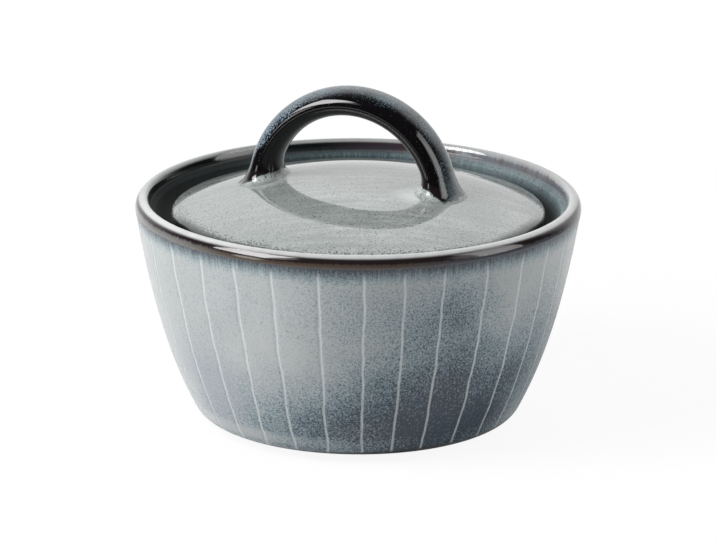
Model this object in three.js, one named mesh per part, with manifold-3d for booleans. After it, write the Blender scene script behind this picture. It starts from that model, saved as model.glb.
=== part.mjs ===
// Lidded stoneware bowl: a flared bowl, a domed lid that drops onto a ledge inside the rim,
// and an arched strap handle on the lid. Millimetres, +Z up, origin at the centre of the foot.

import * as THREE from 'three';
import { mergeVertices } from 'three/addons/utils/BufferGeometryUtils.js';
import Module from 'manifold-3d';

const wasm = await Module();
wasm.setup();

// Bowl, outside
const RIM_DIAMETER = 120;
const BOWL_HEIGHT = 61.9;
const LIP_THICKNESS = 4;
const LIP_CREST = 2.5;
const LIP_CROWN = 3.1;
const BASE_DIAMETER = 78;
const BASE_CORNER_RADIUS = 6.2;
const WALL_BULGE = 4.45;
const WALL_BULGE_AT = 0.35;

// Bowl, underneath
const FOOT_INSET = 8;
const FOOT_WIDTH = 3.5;
const FOOT_HEIGHT = 1.6;
const FOOT_BEVEL = 0.8;
const FOOT_RECESS = 2.2;

// Bowl, inside
const WALL = 4.8;
const FLOOR = 4.2;
const INNER_CORNER = 9;
const LEDGE_DEPTH = 7.5;
const LEDGE_THICKNESS = 4;
const LEDGE_ROUND = 1.2;
const GALLERY_TAPER = 1.4;
const GALLERY_FILLET = 3.5;

// Lid
const LID_SIDE_GAP = 4.3;
const LID_EDGE_ROUND = 2;
const LID_EDGE_THICKNESS = 3.5;
const LID_TOP_ROUND = 0.8;
const LID_CROWN = 12.2;
const LID_WALL = 4.6;
const LID_COVE = 3;
const SEAT_WIDTH = 2.5;
const FLANGE_DEPTH = 6.5;
const FLANGE_WIDTH = 4;
const FLANGE_ROUND = 1.5;
const FLANGE_CLEARANCE = 1;

// Handle
const HANDLE_SPAN = 50.8;
const HANDLE_RISE = 24.9;
const HANDLE_WIDTH = 13.4;
const HANDLE_THICKNESS = 7.5;
const HANDLE_OFFSET = -1.7;
const HANDLE_SQUARENESS = 2.1;
const FLARE = 2;
const FLARE_HEIGHT = 6;
const JOINT_GAP = 0.3;

// Glazes
const BOWL_GLAZE = { color: 0x8b989d, roughness: 0.22, metalness: 0 };
const LID_GLAZE = { color: 0xb3b9b8, roughness: 0.2, metalness: 0 };
const HANDLE_GLAZE = { color: 0x23252b, roughness: 0.16, metalness: 0 };

// Fineness of the facets
const TURN_STEPS = 60;
const ARC_STEPS = 4;
const WALL_STEPS = 7;
const DOME_STEPS = 9;
const HANDLE_STEPS = 40;
const HANDLE_SIDES = 24;
const SEARCH_STEPS = 40;

const QUARTER = Math.PI / 2;

// Levels and radii that the pieces share
const rimRadius = RIM_DIAMETER / 2;
const ledgeZ = BOWL_HEIGHT - LEDGE_DEPTH;
const galleryRadius = rimRadius - LIP_THICKNESS - GALLERY_TAPER;
const lidRadius = galleryRadius - LID_SIDE_GAP;
const lidEdgeCentre = lidRadius - LID_EDGE_ROUND;
const ledgeRadius = lidEdgeCentre - SEAT_WIDTH;
const flangeRadius = ledgeRadius - FLANGE_CLEARANCE;
const crownZ = ledgeZ + LID_CROWN;

// The lid's dome is a sphere that the rounding of its upper edge touches from inside
const lidTopCentre = lidRadius - LID_TOP_ROUND;
const lidTopZ = ledgeZ + LID_EDGE_THICKNESS - LID_TOP_ROUND;
const edgeDrop = crownZ - lidTopZ;
const domeRadius = (edgeDrop ** 2 + lidTopCentre ** 2 - LID_TOP_ROUND ** 2)
  / (2 * (edgeDrop - LID_TOP_ROUND));
const domeCentreZ = crownZ - domeRadius;
const domeEdgeAngle = Math.asin(lidTopCentre / (domeRadius - LID_TOP_ROUND));

function point(r, z) {
  return new THREE.Vector2(r, z);
}

function domeHeight(radius, r) {
  return domeCentreZ + Math.sqrt(radius ** 2 - r ** 2);
}

function glazed(name, geometry, glaze) {
  const mesh = new THREE.Mesh(geometry, new THREE.MeshStandardMaterial(glaze));
  mesh.name = name;
  return mesh;
}

// Points on an arc about (r, z): angles run from the outward direction towards up
function arc(r, z, radiusR, radiusZ, from, to, steps = ARC_STEPS) {
  const points = [];
  for (let i = 0; i <= steps; i += 1) {
    const angle = from + (to - from) * i / steps;
    points.push(point(r + radiusR * Math.cos(angle), z + radiusZ * Math.sin(angle)));
  }
  return points;
}

function roundArc(r, z, radius, from, to, steps = ARC_STEPS) {
  return arc(r, z, radius, radius, from, to, steps);
}

// Stretch of a domed surface about the lid's sphere centre, between two angles from the axis
function domeArc(radius, from, to) {
  return roundArc(0, domeCentreZ, radius, QUARTER - from, QUARTER - to, DOME_STEPS);
}

function turned(points) {
  const lathe = new THREE.LatheGeometry(points, TURN_STEPS);
  lathe.rotateX(QUARTER);
  return lathe;
}

// Outer wall: leaves the base corner without a kink and bulges a little on its way to the lip
const cornerCentre = point(BASE_DIAMETER / 2, FOOT_HEIGHT + BASE_CORNER_RADIUS);
const lipPoint = point(rimRadius, BOWL_HEIGHT - LIP_CROWN);

function bulgePoint() {
  const start = cornerCentre.clone().add(point(BASE_CORNER_RADIUS, 0));
  const chord = lipPoint.clone().sub(start);
  const outward = point(chord.y, -chord.x).normalize();
  return start.addScaledVector(chord, WALL_BULGE_AT).addScaledVector(outward, WALL_BULGE);
}

// Angle on the base corner where a line from the given point just touches it
function touchingAngle(from) {
  const away = from.clone().sub(cornerCentre);
  return away.angle() - Math.acos(BASE_CORNER_RADIUS / away.length());
}

const bulge = bulgePoint();
const hipAngle = touchingAngle(bulge);
const [hip] = roundArc(cornerCentre.x, cornerCentre.y, BASE_CORNER_RADIUS, hipAngle, hipAngle);
const wallCurve = new THREE.QuadraticBezierCurve(hip, bulge, lipPoint);

// Point on the inner face of the wall, square to the outer face
function innerWall(t) {
  const along = wallCurve.getTangent(t);
  return wallCurve.getPoint(t).add(point(-along.y, along.x).multiplyScalar(WALL));
}

// Place on the wall where a measure of its inner face passes from negative to positive
function wallPlace(measure) {
  let low = 0;
  let high = 1;
  for (let i = 0; i < SEARCH_STEPS; i += 1) {
    const middle = (low + high) / 2;
    if (measure(innerWall(middle)) < 0) {
      low = middle;
    } else {
      high = middle;
    }
  }
  return (low + high) / 2;
}

function footProfile() {
  const outer = BASE_DIAMETER / 2 - FOOT_INSET;
  const inner = outer - FOOT_WIDTH;
  return [
    point(0, FOOT_RECESS),
    point(inner - FOOT_RECESS, FOOT_RECESS),
    point(inner, 0),
    point(outer, 0),
    point(outer + FOOT_BEVEL, FOOT_HEIGHT),
  ];
}

// Round top of the wall: its crest stands nearer to the inside than to the outside
function lipProfile() {
  const crest = lipPoint.x - LIP_CREST;
  const inner = LIP_THICKNESS - LIP_CREST;
  return [
    ...arc(crest, lipPoint.y, LIP_CREST, LIP_CROWN, 0, QUARTER),
    ...arc(crest, lipPoint.y, inner, LIP_CROWN, QUARTER, Math.PI).slice(1),
  ];
}

function outsideProfile() {
  return [
    ...roundArc(cornerCentre.x, cornerCentre.y, BASE_CORNER_RADIUS, -QUARTER, hipAngle),
    ...wallCurve.getPoints(WALL_STEPS).slice(1),
    ...lipProfile().slice(1),
  ];
}

// Ledge that carries the lid, with a slope under it that runs back into the wall
function galleryProfile() {
  const fillet = Math.min(GALLERY_FILLET, LID_SIDE_GAP);
  const round = Math.min(LEDGE_ROUND, LEDGE_THICKNESS);
  return [
    ...roundArc(galleryRadius - fillet, ledgeZ + fillet, fillet, 0, -QUARTER),
    ...roundArc(ledgeRadius + round, ledgeZ - round, round, QUARTER, Math.PI),
    point(ledgeRadius, ledgeZ - LEDGE_THICKNESS),
  ];
}

function insideProfile() {
  const floorZ = FOOT_RECESS + FLOOR;
  const underLedge = ledgeZ - LEDGE_THICKNESS;
  const top = wallPlace((p) => (p.x - ledgeRadius) - (underLedge - p.y));
  const bottom = wallPlace((p) => p.y - floorZ - INNER_CORNER);
  const points = [];
  for (let i = 0; i <= WALL_STEPS; i += 1) {
    points.push(innerWall(top + (bottom - top) * i / WALL_STEPS));
  }
  const wallEnd = points.pop();
  const along = wallCurve.getTangent(bottom);
  const corner = point(wallEnd.x - INNER_CORNER * along.x / along.y, floorZ);
  const floorEdge = point(corner.x - INNER_CORNER, floorZ);
  const sweep = new THREE.QuadraticBezierCurve(wallEnd, corner, floorEdge);
  return [...points, ...sweep.getPoints(WALL_STEPS), point(0, floorZ)];
}

function makeBowl() {
  const profile = [
    ...footProfile(),
    ...outsideProfile(),
    ...galleryProfile(),
    ...insideProfile(),
  ];
  return glazed('bowl', turned(profile), BOWL_GLAZE);
}

// Underside of the lid, from the axis out to the foot of its locating flange
function lidUnderside() {
  const radius = domeRadius - LID_WALL;
  const inner = flangeRadius - FLANGE_WIDTH;
  const coveStart = inner - LID_COVE;
  const corner = point(inner, domeHeight(radius, inner));
  const cove = new THREE.QuadraticBezierCurve(
    point(coveStart, domeHeight(radius, coveStart)),
    corner,
    point(inner, corner.y - LID_COVE),
  );
  return [
    ...domeArc(radius, 0, Math.asin(coveStart / radius)),
    ...cove.getPoints(ARC_STEPS).slice(1),
  ];
}

function flangeProfile() {
  const round = Math.min(FLANGE_ROUND, FLANGE_WIDTH / 2);
  const inner = flangeRadius - FLANGE_WIDTH;
  const roundZ = ledgeZ - FLANGE_DEPTH + round;
  return [
    ...roundArc(inner + round, roundZ, round, -Math.PI, -QUARTER),
    ...roundArc(flangeRadius - round, roundZ, round, -QUARTER, 0),
    point(flangeRadius, ledgeZ),
  ];
}

// Edge of the lid: full underneath, with a crisper round where it meets the dome
function lidEdgeProfile() {
  const lowerRound = Math.min(LID_EDGE_ROUND, lidTopZ - ledgeZ);
  return [
    ...arc(lidEdgeCentre, ledgeZ + lowerRound, LID_EDGE_ROUND, lowerRound, -QUARTER, 0),
    ...roundArc(lidTopCentre, lidTopZ, LID_TOP_ROUND, 0, QUARTER - domeEdgeAngle),
  ];
}

function makeLid() {
  const profile = [
    ...lidUnderside(),
    ...flangeProfile(),
    ...lidEdgeProfile(),
    ...domeArc(domeRadius, domeEdgeAngle, 0).slice(1),
  ];
  return glazed('lid', turned(profile), LID_GLAZE);
}

// Centre line of the handle: two short legs that run down into the lid, and a half circle
const archRadius = HANDLE_SPAN / 2;
const archZ = crownZ + HANDLE_RISE - HANDLE_THICKNESS / 2 - archRadius;
const legLength = Math.max(archZ - ledgeZ, 0);

function handlePlace(share) {
  const archLength = Math.PI * archRadius;
  const travelled = share * (archLength + 2 * legLength) - legLength;
  const angle = THREE.MathUtils.clamp(travelled, 0, archLength) / archRadius;
  const below = Math.max(-travelled, travelled - archLength, 0);
  const outward = new THREE.Vector3(Math.cos(angle), 0, Math.sin(angle));
  const centre = outward.clone().multiplyScalar(archRadius);
  centre.add(new THREE.Vector3(HANDLE_OFFSET, 0, archZ - below));
  return { centre, outward };
}

// The strap widens where it comes down onto the dome
function flareAt(centre) {
  const height = Math.max(centre.z - domeHeight(domeRadius, centre.x), 0);
  return FLARE * Math.max(1 - height / FLARE_HEIGHT, 0) ** 2;
}

function superellipse(angle) {
  const power = (value) => Math.sign(value) * Math.abs(value) ** (2 / HANDLE_SQUARENESS);
  return point(power(Math.cos(angle)), power(Math.sin(angle)));
}

function handleSection(share) {
  const { centre, outward } = handlePlace(share);
  const flare = flareAt(centre);
  const ring = [];
  for (let i = 0; i < HANDLE_SIDES; i += 1) {
    const place = superellipse(2 * Math.PI * i / HANDLE_SIDES);
    const vertex = centre.clone().addScaledVector(outward, place.x * (HANDLE_THICKNESS / 2 + flare));
    vertex.y += place.y * (HANDLE_WIDTH / 2 + flare);
    ring.push(vertex);
  }
  return { centre, ring };
}

// Closed strap: rings of the section joined side by side, with a fan over each end
function strapGeometry() {
  const sections = [];
  for (let i = 0; i <= HANDLE_STEPS; i += 1) {
    sections.push(handleSection(i / HANDLE_STEPS));
  }
  const vertices = sections.flatMap((section) => section.ring);
  const startCentre = vertices.push(sections[0].centre) - 1;
  const endCentre = vertices.push(sections[HANDLE_STEPS].centre) - 1;
  const triangles = [];
  for (let j = 0; j < HANDLE_SIDES; j += 1) {
    const next = (j + 1) % HANDLE_SIDES;
    const last = HANDLE_STEPS * HANDLE_SIDES;
    triangles.push(startCentre, next, j);
    triangles.push(endCentre, last + j, last + next);
    for (let i = 0; i < HANDLE_STEPS; i += 1) {
      const here = i * HANDLE_SIDES;
      const ahead = here + HANDLE_SIDES;
      triangles.push(here + j, here + next, ahead + j);
      triangles.push(here + next, ahead + next, ahead + j);
    }
  }
  const geometry = new THREE.BufferGeometry().setFromPoints(vertices);
  geometry.setIndex(triangles);
  return geometry;
}

// Everything under the dome, raised by the joint's gap, which trims the handle's feet
function domeBlock() {
  const radius = domeRadius + JOINT_GAP;
  const bottom = Math.min(ledgeZ, archZ) - HANDLE_THICKNESS - FLARE;
  return turned([
    point(0, bottom),
    point(lidRadius, bottom),
    ...domeArc(radius, Math.asin(lidRadius / radius), 0),
  ]);
}

function solid(geometry) {
  const bare = geometry.clone();
  bare.deleteAttribute('normal');
  bare.deleteAttribute('uv');
  const merged = mergeVertices(bare);
  return new wasm.Manifold(new wasm.Mesh({
    numProp: 3,
    vertProperties: new Float32Array(merged.attributes.position.array),
    triVerts: new Uint32Array(merged.index.array),
  }));
}

function geometryOf(manifold) {
  const mesh = manifold.getMesh();
  const geometry = new THREE.BufferGeometry();
  geometry.setAttribute('position', new THREE.BufferAttribute(mesh.vertProperties, 3));
  geometry.setIndex(new THREE.BufferAttribute(mesh.triVerts, 1));
  geometry.computeVertexNormals();
  return geometry;
}

function makeHandle() {
  const trimmed = solid(strapGeometry()).subtract(solid(domeBlock()));
  return glazed('handle', geometryOf(trimmed), HANDLE_GLAZE);
}

const liddedBowl = new THREE.Group();
liddedBowl.add(makeBowl(), makeLid(), makeHandle());

export default liddedBowl;
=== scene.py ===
"""Looks of a lidded stoneware bowl: mottled blue-grey glaze, fine pale stripes and a dark arched handle."""

import math
import random

import bpy
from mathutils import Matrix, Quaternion, Vector


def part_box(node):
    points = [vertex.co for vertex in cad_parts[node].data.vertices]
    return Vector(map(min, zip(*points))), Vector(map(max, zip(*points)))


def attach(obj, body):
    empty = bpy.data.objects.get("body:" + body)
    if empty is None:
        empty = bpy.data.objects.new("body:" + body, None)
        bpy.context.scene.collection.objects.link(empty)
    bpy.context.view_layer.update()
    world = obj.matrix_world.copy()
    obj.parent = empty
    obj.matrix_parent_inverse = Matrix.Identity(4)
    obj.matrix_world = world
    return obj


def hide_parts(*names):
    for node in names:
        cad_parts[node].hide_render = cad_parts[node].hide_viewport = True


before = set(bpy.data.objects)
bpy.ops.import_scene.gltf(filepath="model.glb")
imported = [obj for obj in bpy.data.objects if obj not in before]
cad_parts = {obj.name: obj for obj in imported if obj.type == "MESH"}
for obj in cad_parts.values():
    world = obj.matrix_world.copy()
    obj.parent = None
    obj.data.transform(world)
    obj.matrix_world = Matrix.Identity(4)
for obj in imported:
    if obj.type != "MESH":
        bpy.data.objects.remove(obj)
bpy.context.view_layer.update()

MM = 0.001
QUARTER = math.pi / 2
SEAM = 2e-3 * MM


def mm(*lengths):
    """Lengths in metres from millimetres."""
    return tuple(length * MM for length in lengths)


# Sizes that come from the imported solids
bowl_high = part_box("bowl")[1]
lid_low, lid_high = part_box("lid")
handle_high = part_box("handle")[1]
RIM_RADIUS = bowl_high.x
RIM_HEIGHT = bowl_high.z
CROWN_HEIGHT = lid_high.z
FLANGE_BOTTOM = lid_low.z
ARCH_TOP = handle_high.z

# Bowl
LIP_THICKNESS = 4 * MM
LIP_CREST = 2.5 * MM
LIP_CROWN = 3.1 * MM
BASE_RADIUS = 39 * MM
BASE_CORNER = 6.2 * MM
WALL_BULGE = 4.45 * MM
WALL_BULGE_AT = 0.35
WALL = 4.8 * MM
FLOOR_HEIGHT = 6.4 * MM
INNER_CORNER = 9 * MM
FOOT_OUTER = 31 * MM
FOOT_INNER = 27.5 * MM
FOOT_HEIGHT = 1.6 * MM
FOOT_BEVEL = 0.8 * MM
FOOT_RECESS = 2.2 * MM
FOOT_SOFTNESS = 0.5 * MM

# Ledge inside the rim
LEDGE_HEIGHT = RIM_HEIGHT - 7.5 * MM
LEDGE_THICKNESS = 4 * MM
LEDGE_RADIUS = 45.8 * MM
LEDGE_ROUND = 1.2 * MM
GALLERY_RADIUS = 54.6 * MM
GALLERY_FILLET = 3.5 * MM

# Lid
LID_RADIUS = 50.3 * MM
LID_EDGE_ROUND = 2 * MM
LID_EDGE_THICKNESS = 3.5 * MM
LID_TOP_ROUND = 0.8 * MM
LID_WALL = 4.6 * MM
LID_COVE = 3 * MM
FLANGE_RADIUS = 44.8 * MM
FLANGE_WIDTH = 4 * MM
FLANGE_ROUND = 1.5 * MM
SEAT_TOLERANCE = 0.01 * MM

# Handle
ARCH_RADIUS = 25.4 * MM
ARCH_OFFSET = -1.7 * MM
STRAP_WIDTH = 13.4 * MM
STRAP_THICKNESS = 7.5 * MM
STRAP_SQUARENESS = 2.1
FLARE = 2 * MM
FLARE_HEIGHT = 6 * MM
SKIRT = 1.2 * MM
SKIRT_HEIGHT = 1.6 * MM
FOOT_SINK = 0.15 * MM
FOOT_CROWDING = 0.7
STRAP_SIDES = 88

# Stripes: scored lines down the wall, laid out by eye, so each strays a little from its place
STRIPES = 32
STRIPE_PITCH = 2 * math.pi / STRIPES
COLUMNS_PER_STRIPE = 12
COLUMN_CROWDING = 2.2
STRAYS_OF_FRONT_STRIPES = [-0.2, 0.6, 0.9, 0.9, 0.4, 1.2, 1.5, 0.7, -0.2, 1.1, 1.9, 1.1, 0.7]
STRAY_SPREAD = 0.6
STRAY_SEED = 4
STRIPE_FADE = 3 * MM
WAVER = 1.0 * MM
WAVER_LENGTH = 11 * MM
WAVER_APART = 100 * MM
GROOVE_DEPTH = 0.12 * MM
GROOVE_HALF_WIDTH = 0.45 * MM
GROOVE_HALF_FLOOR = 0.1 * MM
WOBBLE = 0.12 * MM
WOBBLE_SIZE = 18 * MM
LID_WOBBLE = WOBBLE / 6

# View of the photograph: bearings are degrees to the right of the side that faces the camera
CAMERA_AZIMUTH = 20.11
CAMERA_ELEVATION = 16.544
CAMERA_DISTANCE = 1400 * MM
CAMERA_TARGET = Vector((0, 0, 43.54 * MM))
CAMERA_AIM = Vector((0, 0, 40.65 * MM))
CAMERA_ROLL = 0.279
CAMERA_LENS = 260.67
FRONT_ANGLE = math.radians(CAMERA_AZIMUTH - 90)

# Dome of the lid: a sphere that the rounding of its upper edge touches from inside
lid_edge_centre = LID_RADIUS - LID_EDGE_ROUND
lid_top_centre = LID_RADIUS - LID_TOP_ROUND
lid_top_height = LEDGE_HEIGHT + LID_EDGE_THICKNESS - LID_TOP_ROUND
edge_drop = CROWN_HEIGHT - lid_top_height
DOME_RADIUS = (edge_drop ** 2 + lid_top_centre ** 2 - LID_TOP_ROUND ** 2) / (2 * (edge_drop - LID_TOP_ROUND))
DOME_CENTRE = CROWN_HEIGHT - DOME_RADIUS
DOME_EDGE_ANGLE = math.asin(lid_top_centre / (DOME_RADIUS - LID_TOP_ROUND))


def looking(bearing, elevation):
    """Direction from the bowl towards a bearing and an elevation, both in degrees."""
    angle = FRONT_ANGLE + math.radians(bearing)
    rise = math.radians(elevation)
    return Vector((math.cos(angle) * math.cos(rise), math.sin(angle) * math.cos(rise), math.sin(rise)))


def placed(name, data):
    """A new object in the scene."""
    thing = bpy.data.objects.new(name, data)
    bpy.context.scene.collection.objects.link(thing)
    return thing


# Outlines that are turned about the axis: lists of (radius, height)

def point(radius, height):
    return Vector((radius, height))


def arc(centre, radii, start, end, steps):
    """Elliptic arc about a centre; angles run from the outward direction towards up."""
    turn = [start + (end - start) * i / steps for i in range(steps + 1)]
    return [point(centre.x + radii[0] * math.cos(t), centre.y + radii[1] * math.sin(t)) for t in turn]


def round_arc(centre, radius, start, end, steps):
    return arc(centre, (radius, radius), start, end, steps)


def bent(a, b, c, steps):
    """Quadratic curve from a to c that leaves and arrives along the lines to b."""
    shares = [i / steps for i in range(steps + 1)]
    return [a * (1 - t) ** 2 + b * 2 * t * (1 - t) + c * t ** 2 for t in shares]


def softened(points, radius, steps=4):
    """The same line with each inner corner rounded."""
    line = [points[0]]
    for before, corner, after in zip(points, points[1:], points[2:]):
        cut = min(radius, (before - corner).length / 2, (after - corner).length / 2)
        start = corner + (before - corner).normalized() * cut
        end = corner + (after - corner).normalized() * cut
        line += bent(start, corner, end, steps)
    return [*line, points[-1]]


def joined(*stretches):
    """One line from several, without points that repeat."""
    line = []
    for p in (p for stretch in stretches for p in stretch):
        if not line or (p - line[-1]).length > 1e-3 * MM:
            line.append(p)
    return line


def spread(points, longest):
    """The same line with points added where two are further apart than the longest step."""
    line = [points[0]]
    for a, b in zip(points, points[1:]):
        steps = max(1, math.ceil((b - a).length / longest))
        line += [a.lerp(b, i / steps) for i in range(1, steps + 1)]
    return line


corner_centre = point(BASE_RADIUS, FOOT_HEIGHT + BASE_CORNER)
lip_point = point(RIM_RADIUS, RIM_HEIGHT - LIP_CROWN)


def wall_bulge():
    start = corner_centre + point(BASE_CORNER, 0)
    chord = lip_point - start
    outward = point(chord.y, -chord.x).normalized()
    return start + chord * WALL_BULGE_AT + outward * WALL_BULGE


def hip_angle():
    """Angle on the base corner where the line from the bulge just touches it."""
    away = wall_bulge() - corner_centre
    return math.atan2(away.y, away.x) - math.acos(BASE_CORNER / away.length)


def outer_wall(steps):
    hip = round_arc(corner_centre, BASE_CORNER, hip_angle(), hip_angle(), 1)[0]
    return bent(hip, wall_bulge(), lip_point, steps)


def foot_outline():
    recess = [
        point(0, FOOT_RECESS),
        point(FOOT_INNER - FOOT_RECESS, FOOT_RECESS),
        point(FOOT_INNER, 0),
        point(FOOT_OUTER, 0),
        point(FOOT_OUTER + FOOT_BEVEL, FOOT_HEIGHT),
        point(BASE_RADIUS, FOOT_HEIGHT),
    ]
    return spread(softened(recess, FOOT_SOFTNESS), longest=3.5 * MM)


def lip_outline():
    crest = point(RIM_RADIUS - LIP_CREST, lip_point.y)
    inner = LIP_THICKNESS - LIP_CREST
    return joined(
        arc(crest, (LIP_CREST, LIP_CROWN), 0, QUARTER, steps=12),
        arc(crest, (inner, LIP_CROWN), QUARTER, math.pi, steps=10),
    )


def gallery_outline():
    fillet = point(GALLERY_RADIUS - GALLERY_FILLET, LEDGE_HEIGHT + GALLERY_FILLET)
    edge = point(LEDGE_RADIUS + LEDGE_ROUND, LEDGE_HEIGHT - LEDGE_ROUND)
    line = joined(
        round_arc(fillet, GALLERY_FILLET, 0, -QUARTER, steps=12),
        round_arc(edge, LEDGE_ROUND, QUARTER, math.pi, steps=5),
        [point(LEDGE_RADIUS, LEDGE_HEIGHT - LEDGE_THICKNESS)],
    )
    return spread(line, longest=1.5 * MM)


def inside_outline():
    """Inner face of the wall, square to the outer one, from under the ledge down to the floor."""
    wall = outer_wall(steps=80)
    inner = []
    for before, after in zip(wall, wall[1:]):
        along = (after - before).normalized()
        inner.append((before + after) / 2 + point(-along.y, along.x) * WALL)
    under_ledge = LEDGE_HEIGHT - LEDGE_THICKNESS
    above_floor = FLOOR_HEIGHT + INNER_CORNER
    kept = [p for p in inner if p.y > above_floor and p.x - LEDGE_RADIUS < under_ledge - p.y]
    kept.reverse()
    slope = kept[-2] - kept[-1]
    corner = point(kept[-1].x - (kept[-1].y - FLOOR_HEIGHT) * slope.x / slope.y, FLOOR_HEIGHT)
    sweep = bent(kept[-1], corner, corner - point(INNER_CORNER, 0), steps=8)
    floor = spread([sweep[-1], point(0, FLOOR_HEIGHT)], longest=4 * MM)
    every_third = kept[::3]
    return joined(every_third, sweep, floor)


def bowl_outline():
    return joined(
        foot_outline(),
        round_arc(corner_centre, BASE_CORNER, -QUARTER, hip_angle(), steps=12),
        outer_wall(steps=84),
        lip_outline(),
        gallery_outline(),
        inside_outline(),
    )


def dome_arc(radius, start, end, steps):
    return round_arc(point(0, DOME_CENTRE), radius, QUARTER - start, QUARTER - end, steps)


def lid_outline():
    under_radius = DOME_RADIUS - LID_WALL
    inner = FLANGE_RADIUS - FLANGE_WIDTH
    cove_start = math.asin((inner - LID_COVE) / under_radius)
    cove_corner = point(inner, DOME_CENTRE + math.sqrt(under_radius ** 2 - inner ** 2))
    underside = dome_arc(under_radius, 0, cove_start, steps=14)
    cove = bent(underside[-1], cove_corner, cove_corner - point(0, LID_COVE), steps=6)
    round_height = FLANGE_BOTTOM + FLANGE_ROUND
    inner_round = point(inner + FLANGE_ROUND, round_height)
    outer_round = point(FLANGE_RADIUS - FLANGE_ROUND, round_height)
    edge_round = point(lid_edge_centre, LEDGE_HEIGHT + LID_EDGE_ROUND)
    top_round = point(lid_top_centre, lid_top_height)
    return joined(
        underside,
        cove,
        round_arc(inner_round, FLANGE_ROUND, -math.pi, -QUARTER, steps=6),
        round_arc(outer_round, FLANGE_ROUND, -QUARTER, 0, steps=6),
        softened([
            point(FLANGE_RADIUS, round_height),
            point(FLANGE_RADIUS, LEDGE_HEIGHT),
            point(lid_edge_centre, LEDGE_HEIGHT),
        ], FOOT_SOFTNESS),
        round_arc(edge_round, LID_EDGE_ROUND, -QUARTER, 0, steps=9),
        round_arc(top_round, LID_TOP_ROUND, 0, QUARTER - DOME_EDGE_ANGLE, steps=9),
        dome_arc(DOME_RADIUS, DOME_EDGE_ANGLE, 0, steps=64),
    )


def along_outline(points):
    """Length along an outline at each of its points."""
    lengths = [0]
    for a, b in zip(points, points[1:]):
        lengths.append(lengths[-1] + (b - a).length)
    return lengths


def outline_guide(name, points, start_index):
    """Mesh line of an outline, with the length along it from one of its points and its outward direction."""
    mesh = bpy.data.meshes.new(name)
    edges = [(i, i + 1) for i in range(len(points) - 1)]
    mesh.from_pydata([(p.x, 0, p.y) for p in points], edges, [])
    lengths = along_outline(points)
    along = mesh.attributes.new("along", "FLOAT", "POINT")
    along.data.foreach_set("value", [lengths[start_index] - length for length in lengths])
    outward = mesh.attributes.new("outward", "FLOAT_VECTOR", "POINT")
    for i in range(len(points)):
        way = points[min(i + 1, len(points) - 1)] - points[max(i - 1, 0)]
        side = point(way.y, -way.x).normalized()
        outward.data[i].vector = (side.x, 0, side.y)
    return mesh


# Node trees: arithmetic on a Field adds Math nodes to its tree

class Field:
    """A value that a node tree works out for each point."""

    def __init__(self, tree, socket):
        self.tree = tree
        self.socket = socket

    def math(self, operation, *others):
        return made(self.tree, "ShaderNodeMath", (self, *others), operation=operation)

    def __add__(self, other):
        return self.math("ADD", other)

    def __sub__(self, other):
        return self.math("SUBTRACT", other)

    def __rsub__(self, other):
        return self.math("MULTIPLY_ADD", -1.0, other)

    def __mul__(self, other):
        return self.math("MULTIPLY", other)

    def __truediv__(self, other):
        return self.math("DIVIDE", other)

    def __pow__(self, other):
        return self.math("POWER", other)

    def __abs__(self):
        return self.math("ABSOLUTE")

    __radd__ = __add__
    __rmul__ = __mul__


def feed(tree, socket, value):
    if isinstance(value, Field):
        tree.links.new(value.socket, socket)
    else:
        socket.default_value = value


def made(tree, kind, inputs=(), output=0, **settings):
    """A new node with its settings and inputs; returns one of its outputs."""
    node = tree.nodes.new(kind)
    for name, value in settings.items():
        setattr(node, name, value)
    for key, value in inputs.items() if isinstance(inputs, dict) else enumerate(inputs):
        feed(tree, node.inputs[key], value)
    return Field(tree, node.outputs[output])


def ramp(value, low, high):
    """0 below low and 1 above high, with a soft passage; low may be the higher of the two."""
    inputs = {"Value": value, "From Min": low, "From Max": high}
    return made(value.tree, "ShaderNodeMapRange", inputs, interpolation_type="SMOOTHSTEP")


def band(value, rise, fall):
    """1 between two soft passages, each given by the values where it starts and ends."""
    return ramp(value, *rise) * ramp(value, *fall)


def vector(tree, x, y, z):
    return made(tree, "ShaderNodeCombineXYZ", (x, y, z))


def part_of(place, axis):
    return made(place.tree, "ShaderNodeSeparateXYZ", (place,), output="XYZ".index(axis))


def vector_math(operation, first, second, output=0):
    return made(first.tree, "ShaderNodeVectorMath", (first, second), output, operation=operation)


def distance_to(spot, place):
    return vector_math("DISTANCE", place, tuple(spot), output="Value")


def reach_along(way, place):
    """How far a place lies along a direction."""
    return vector_math("DOT_PRODUCT", place, tuple(way), output="Value")


def scaled(place, factor):
    return made(place.tree, "ShaderNodeVectorMath", {"Vector": place, "Scale": factor}, operation="SCALE")


def noise(place, size, detail=2.0, roughness=0.5, output=0):
    """Cloudy pattern around 0.5 whose blobs are about the given size."""
    inputs = {"Vector": place, "Scale": 1 / size, "Detail": detail, "Roughness": roughness}
    return made(place.tree, "ShaderNodeTexNoise", inputs, output)


def mixed(share, first, second):
    """Colour between two; the colours of a Mix node are its inputs 6 and 7 and its output 2."""
    tree = share.tree
    node = tree.nodes.new("ShaderNodeMix")
    node.data_type = "RGBA"
    feed(tree, node.inputs[0], share)
    feed(tree, node.inputs[6], first)
    feed(tree, node.inputs[7], second)
    return Field(tree, node.outputs[2])


# Geometry Nodes

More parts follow.
